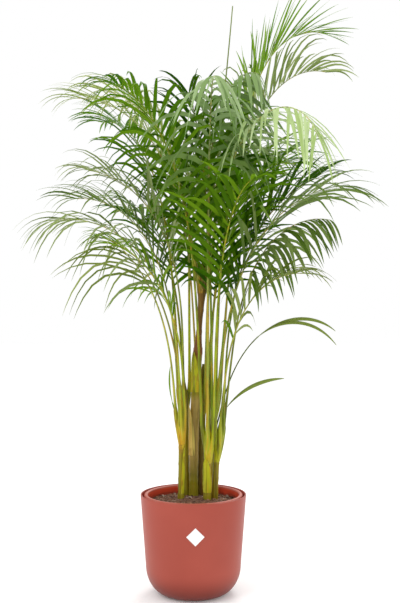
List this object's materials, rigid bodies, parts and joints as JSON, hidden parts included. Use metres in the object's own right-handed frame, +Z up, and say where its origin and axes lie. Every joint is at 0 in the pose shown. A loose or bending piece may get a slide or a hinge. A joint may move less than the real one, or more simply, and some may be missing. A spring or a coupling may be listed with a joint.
{
  "type": "potted palm",
  "caption": "Areca palm with arching feathered fronds on clustered canes, planted in a nursery pot inside a round rust-red plastic pot.",
  "frame": {"origin": "middle of the outer pot's flat underside", "axes": "+Z up along the pot's axis, -Y towards the side the plant is shown from, +X to the right seen from there"},
  "size_m": [0.79, 0.8322, 1.3133],
  "materials": {
    "outer_pot_plastic": "rust-red moulded plastic with a soft sheen",
    "nursery_pot_plastic": "rust-red plastic, slightly lighter on the rolled lip",
    "potting_soil": "dark crumbly potting soil with bark and pale grains",
    "label": "plain white sticker, nothing printed on it",
    "cane_green": "smooth yellow-green cane with ring scars",
    "cane_grey": "grey-green to brown older cane with ring scars",
    "dry_sheath": "dry tan fibrous leaf sheath",
    "young_leaf": "bright green waxy leaf",
    "frond": "green waxy leaflets on yellow-green stalks"
  },
  "bodies": {
    "root": {"outer_pot": "outer_pot_plastic", "nursery_pot": "nursery_pot_plastic", "soil": "potting_soil", "blank_label": "label", "cane_1": "cane_green", "cane_2": "cane_grey", "cane_3": "cane_grey", "cane_4": "cane_green", "cane_5": "cane_green", "cane_6": "cane_green", "cane_7": "cane_green", "dry_sheath_low": "dry_sheath", "dry_sheath_high": "dry_sheath", "split_sheath": "dry_sheath", "dry_strip": "dry_sheath", "spear_leaf": "young_leaf", "small_leaf_left": "young_leaf", "small_leaf_right_low": "young_leaf", "small_leaf_right_high": "young_leaf", "frond_low_left_front": "frond", "frond_low_left_back": "frond", "frond_left_sweep": "frond", "frond_left_young": "frond", "frond_left_high": "frond", "frond_left_mid_front": "frond", "frond_left_mid_back": "frond", "frond_centre_crown": "frond", "frond_centre_left_front": "frond", "frond_centre_front": "frond", "frond_centre_upright": "frond", "frond_crown_back_left": "frond", "frond_crown_back_right": "frond", "frond_right_plume": "frond", "frond_right_high_back": "frond", "frond_right_pale": "frond", "frond_right_dark": "frond", "frond_right_front": "frond", "frond_right_low": "frond", "frond_right_low_front": "frond", "frond_front_right": "frond", "frond_right_inner_back": "frond", "frond_back_centre": "frond", "frond_back_left": "frond", "frond_back_right": "frond", "frond_back_low_left": "frond", "frond_back_low_right": "frond"}
  },
  "joints": []
}
